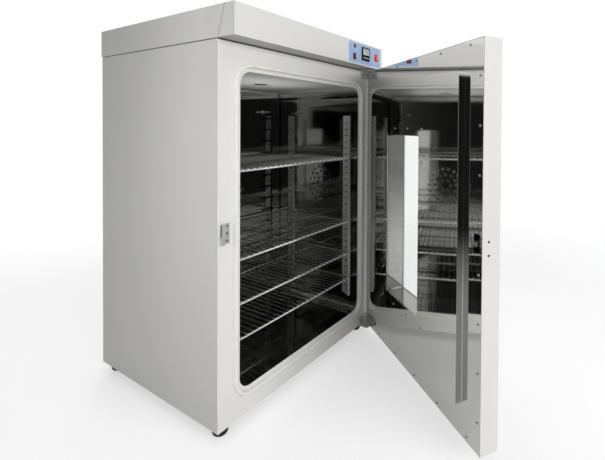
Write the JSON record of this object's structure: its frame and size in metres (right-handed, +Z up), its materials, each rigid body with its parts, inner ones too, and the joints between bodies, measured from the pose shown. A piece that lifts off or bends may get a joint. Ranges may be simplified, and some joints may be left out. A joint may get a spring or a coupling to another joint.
{
  "type": "hot air drying oven",
  "caption": "Free-standing laboratory drying oven with a side-hinged glazed door, polished chamber, wire shelves, fan and a control hood that overhangs the front",
  "frame": {"origin": "on the floor under the middle of the cabinet's plan, between the four feet", "axes": "+X to the right along the front, +Y from the front to the back, +Z up"},
  "size_m": [0.7247, 1.2151, 1.1238],
  "materials": {
    "cabinet_paint": "smooth semi-gloss powder coat",
    "hood_paint": "smooth semi-gloss powder coat",
    "door_paint": "smooth semi-gloss powder coat",
    "polished_steel": "polished",
    "plated_wire": "bright plated",
    "plated_steel": "satin",
    "zinc_steel": "dull zinc",
    "silicone": "matte",
    "black_rubber": "matte",
    "mineral_wool": "fibrous",
    "clear_glass": "polished",
    "blue_label": "satin film",
    "black_plastic": "fine texture",
    "display_plastic": "gloss",
    "key_plastic": "satin",
    "red_lens": "gloss",
    "red_rocker": "gloss",
    "pale_plastic": "gloss",
    "aluminium": "extruded",
    "motor_paint": "painted",
    "bronze": "sintered"
  },
  "bodies": {
    "cabinet": {"cabinet_shell": "cabinet_paint", "rear_panel": "cabinet_paint", "chamber_liner": "polished_steel", "insulation_jacket": "mineral_wool", "door_gasket": "silicone", "rubber_feet": "black_rubber", "hood_frame": "plated_steel", "hood_cover": "hood_paint", "control_fascia": "hood_paint", "control_label": "blue_label", "temperature_controller": "black_plastic", "controller_display": "display_plastic", "lamp_bezel": "plated_steel", "lamp_lens": "red_lens", "light_switch_frame": "black_plastic", "power_switch_frame": "pale_plastic", "power_gland": "black_plastic", "relay": "pale_plastic", "heat_sink": "aluminium", "terminal_block": "pale_plastic", "vent_tube": "zinc_steel", "vent_rosette": "plated_steel", "shelf_uprights": "polished_steel", "shelf_clips": "plated_steel", "air_duct_panel": "polished_steel", "temperature_probe": "plated_steel", "motor_mount": "zinc_steel", "fan_motor": "motor_paint", "tubular_heater": "plated_steel", "hinge_bracket_bottom": "plated_wire", "hinge_bracket_top": "plated_wire", "hinge_pins": "plated_steel", "strike_plate": "plated_wire"},
    "door": {"door_shell": "door_paint", "door_inner_panel": "polished_steel", "door_insulation": "mineral_wool", "window_tunnel": "polished_steel", "inner_glass": "clear_glass", "outer_glass": "clear_glass", "outer_glass_seal": "silicone", "latch_case": "zinc_steel", "handle_rose": "plated_wire", "hinge_bushes": "bronze"},
    "handle": {"door_handle": "plated_wire", "handle_spindle": "plated_steel"},
    "latch": {"latch_tongue": "plated_steel"},
    "shelf_1": {"wire_shelf_1": "plated_wire"},
    "shelf_2": {"wire_shelf_2": "plated_wire"},
    "shelf_3": {"wire_shelf_3": "plated_wire"},
    "shelf_4": {"wire_shelf_4": "plated_wire"},
    "fan": {"fan_wheel": "aluminium", "motor_shaft": "plated_steel"},
    "damper": {"vent_damper": "plated_steel"},
    "set_button": {"set_key": "key_plastic"},
    "shift_button": {"shift_key": "key_plastic"},
    "down_button": {"down_key": "key_plastic"},
    "up_button": {"up_key": "key_plastic"},
    "light_rocker": {"light_switch_rocker": "red_rocker"},
    "power_rocker": {"power_switch_rocker": "red_rocker"}
  },
  "joints": [
    {"name": "door_hinge", "type": "hinge", "parent": "cabinet", "child": "door", "pos_m": [0.34, -0.3225, 0.528], "axis": [0, 0, 1], "range_deg": [-55, 60]},
    {"name": "handle_turn", "type": "hinge", "parent": "door", "child": "handle", "pos_m": [0.01592, -0.84635, 0.534], "axis": [-0.8192, 0.5736, 0], "range_deg": [0, 30], "stiffness_Nm_per_rad": 2},
    {"name": "latch_slide", "type": "slide", "parent": "door", "child": "latch", "axis": [0.5736, 0.8192, 0], "range_m": [0, 0.006]},
    {"name": "shelf_1_slide", "type": "slide", "parent": "cabinet", "child": "shelf_1", "axis": [0, -1, 0], "range_m": [0, 0.085]},
    {"name": "shelf_2_slide", "type": "slide", "parent": "cabinet", "child": "shelf_2", "axis": [0, -1, 0], "range_m": [0, 0.085]},
    {"name": "shelf_3_slide", "type": "slide", "parent": "cabinet", "child": "shelf_3", "axis": [0, -1, 0], "range_m": [0, 0.085]},
    {"name": "shelf_4_slide", "type": "slide", "parent": "cabinet", "child": "shelf_4", "axis": [0, -1, 0], "range_m": [0, 0.085]},
    {"name": "fan_spin", "type": "hinge", "parent": "cabinet", "child": "fan", "pos_m": [0, 0.15, 0.528], "axis": [0, 1, 0], "continuous": true},
    {"name": "damper_turn", "type": "hinge", "parent": "cabinet", "child": "damper", "pos_m": [0, -0.0625, 1.118], "axis": [0, 0, 1], "range_deg": [0, 45]},
    {"name": "set_press", "type": "slide", "parent": "cabinet", "child": "set_button", "axis": [0, 1, 0], "range_m": [0, 0.0006], "stiffness_N_per_m": 400},
    {"name": "shift_press", "type": "slide", "parent": "cabinet", "child": "shift_button", "axis": [0, 1, 0], "range_m": [0, 0.0006], "stiffness_N_per_m": 400},
    {"name": "down_press", "type": "slide", "parent": "cabinet", "child": "down_button", "axis": [0, 1, 0], "range_m": [0, 0.0006], "stiffness_N_per_m": 400},
    {"name": "up_press", "type": "slide", "parent": "cabinet", "child": "up_button", "axis": [0, 1, 0], "range_m": [0, 0.0006], "stiffness_N_per_m": 400},
    {"name": "light_tip", "type": "hinge", "parent": "cabinet", "child": "light_rocker", "pos_m": [0.1615, -0.357, 1.057], "axis": [1, 0, 0], "range_deg": [0, 18]},
    {"name": "power_tip", "type": "hinge", "parent": "cabinet", "child": "power_rocker", "pos_m": [0.3015, -0.357, 1.071], "axis": [1, 0, 0], "range_deg": [0, 18]}
  ],
  "couplings": [
    {"joint": "latch_slide", "follows": "handle_turn", "m_per_rad": 0.011459}
  ]
}
